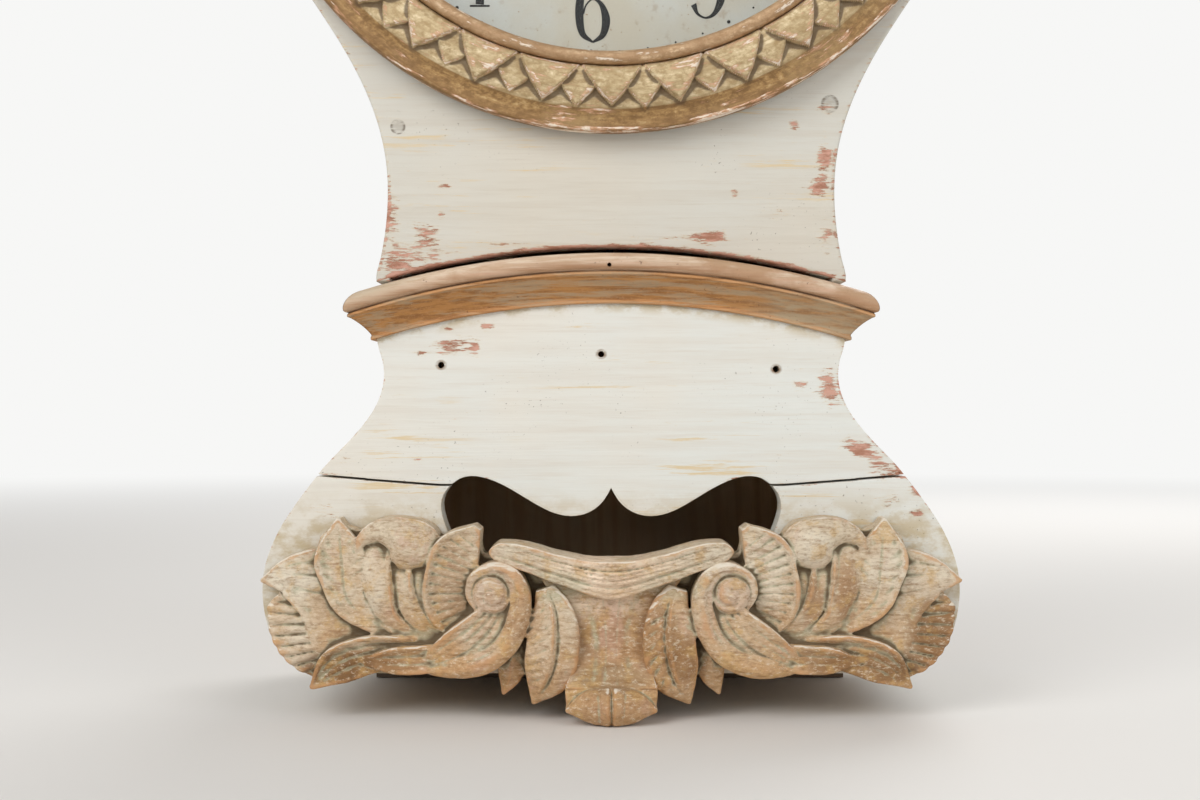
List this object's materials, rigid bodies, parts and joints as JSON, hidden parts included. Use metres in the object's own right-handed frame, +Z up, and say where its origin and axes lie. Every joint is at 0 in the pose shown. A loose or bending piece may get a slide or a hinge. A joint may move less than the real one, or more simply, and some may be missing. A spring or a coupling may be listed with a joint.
{
  "type": "table clock",
  "caption": "Painted table clock with a round head, gilded leaf bezel, waisted case and carved acanthus base, a pendulum movement inside.",
  "frame": {"origin": "on the floor, under the middle of the clock's bounding box", "axes": "+Z up, the dial faces -Y, +X to the right as seen from the front"},
  "size_m": [0.3976, 0.21, 0.696],
  "materials": {
    "cream_paint": "old cream paint on pine, worn to a red-brown undercoat at the edges",
    "gilding": "worn gilding over gesso and red bole on wood",
    "carved_wood": "carved wood with old gilding rubbed down and pale grey-green in the hollows",
    "pine": "bare aged pine",
    "brass": "clock brass, lightly tarnished",
    "steel": "plain bright steel",
    "iron": "blackened iron",
    "dial_paint": "pale blue-grey painted sheet iron with plain black numbers",
    "glass": "thin old clear glass"
  },
  "bodies": {
    "root": {"back_board": "pine", "back_cock": "brass", "back_plate": "brass", "base_deck": "pine", "base_floor": "pine", "base_front_lower": "cream_paint", "base_front_upper": "cream_paint", "base_side_left": "cream_paint", "base_side_right": "cream_paint", "bracket_cornice": "carved_wood", "bracket_stem": "carved_wood", "carved_leaves_left": "carved_wood", "carved_leaves_right": "carved_wood", "click_spring": "steel", "dial": "dial_paint", "front_foot": "carved_wood", "front_plate": "brass", "rear_foot_rail": "pine", "seat_board": "pine", "seat_screw_left": "steel", "seat_screw_right": "steel", "seat_upright_left": "pine", "seat_upright_right": "pine", "shoulder_moulding_front": "gilding", "shoulder_moulding_left": "gilding", "shoulder_moulding_right": "gilding"},
    "hood": {"hood_front_board": "cream_paint", "hood_rim": "cream_paint", "hood_side_left": "cream_paint", "hood_side_right": "cream_paint", "hinge_leaf_fixed_lower": "brass", "hinge_leaf_fixed_upper": "brass", "hinge_pin_lower": "steel", "hinge_pin_upper": "steel"},
    "bezel_door": {"bezel_ring": "gilding", "bezel_bead": "gilding", "dial_glass": "glass", "glass_retainer": "pine", "hinge_leaf_moving_lower": "brass", "hinge_leaf_moving_upper": "brass"},
    "centre": {"centre_wheel": "brass", "cannon_pinion": "steel", "minute_hand": "iron", "hand_collet": "brass"},
    "hour": {"hour_wheel": "brass", "hour_hand": "iron"},
    "minute_work": {"minute_wheel": "brass"},
    "third": {"third_wheel": "brass"},
    "escape": {"escape_wheel": "brass"},
    "barrel": {"mainspring_barrel": "brass", "barrel_cover": "brass", "mainspring": "steel"},
    "winding": {"winding_arbor": "steel"},
    "click_body": {"click": "steel"},
    "pendulum": {"suspension_spring": "steel", "pendulum_rod": "steel", "pendulum_bob": "brass"},
    "anchor": {"pallet_anchor": "steel"},
    "rating": {"rating_nut": "brass"}
  },
  "joints": [
    {"name": "hood_slide", "type": "slide", "parent": "root", "child": "hood", "axis": [0, -1, 0], "range_m": [0, 0.2]},
    {"name": "bezel_hinge", "type": "hinge", "parent": "hood", "child": "bezel_door", "pos_m": [0.197, -0.062, 0.497], "axis": [0, 0, 1], "range_deg": [0, 95]},
    {"name": "centre_spin", "type": "hinge", "parent": "root", "child": "centre", "pos_m": [0, 0, 0.497], "axis": [0, 1, 0], "continuous": true},
    {"name": "hour_spin", "type": "hinge", "parent": "root", "child": "hour", "pos_m": [0, 0, 0.497], "axis": [0, 1, 0], "continuous": true},
    {"name": "minute_wheel_spin", "type": "hinge", "parent": "root", "child": "minute_work", "pos_m": [0.0144, 0, 0.497], "axis": [0, 1, 0], "continuous": true},
    {"name": "third_spin", "type": "hinge", "parent": "root", "child": "third", "pos_m": [-0.02096, 0, 0.51402], "axis": [0, 1, 0], "continuous": true},
    {"name": "escape_spin", "type": "hinge", "parent": "root", "child": "escape", "pos_m": [0, 0, 0.528], "axis": [0, 1, 0], "continuous": true},
    {"name": "barrel_spin", "type": "hinge", "parent": "root", "child": "barrel", "pos_m": [0, 0, 0.458], "axis": [0, 1, 0], "continuous": true},
    {"name": "winding_spin", "type": "hinge", "parent": "root", "child": "winding", "pos_m": [0, 0, 0.458], "axis": [0, 1, 0], "continuous": true},
    {"name": "click_lift", "type": "hinge", "parent": "root", "child": "click_body", "pos_m": [0.017, 0, 0.468], "axis": [0, 1, 0], "range_deg": [0, 10], "stiffness_Nm_per_rad": 0.02},
    {"name": "pendulum_swing", "type": "hinge", "parent": "root", "child": "pendulum", "pos_m": [0, 0.042, 0.5525], "axis": [0, 1, 0], "range_deg": [-3, 3]},
    {"name": "anchor_rock", "type": "hinge", "parent": "root", "child": "anchor", "pos_m": [0, 0.042, 0.5525], "axis": [0, 1, 0], "range_deg": [-3, 3]},
    {"name": "rating_turn", "type": "hinge", "parent": "pendulum", "child": "rating", "pos_m": [0, 0.042, 0.1602], "axis": [0, 0, 1], "continuous": true}
  ],
  "couplings": [
    {"joint": "hour_spin", "follows": "centre_spin", "ratio": 0.083333},
    {"joint": "minute_wheel_spin", "follows": "centre_spin", "ratio": -0.33333},
    {"joint": "third_spin", "follows": "centre_spin", "ratio": -9},
    {"joint": "escape_spin", "follows": "centre_spin", "ratio": 99},
    {"joint": "barrel_spin", "follows": "centre_spin", "ratio": -0.083333},
    {"joint": "anchor_rock", "follows": "pendulum_swing", "ratio": 1}
  ]
}
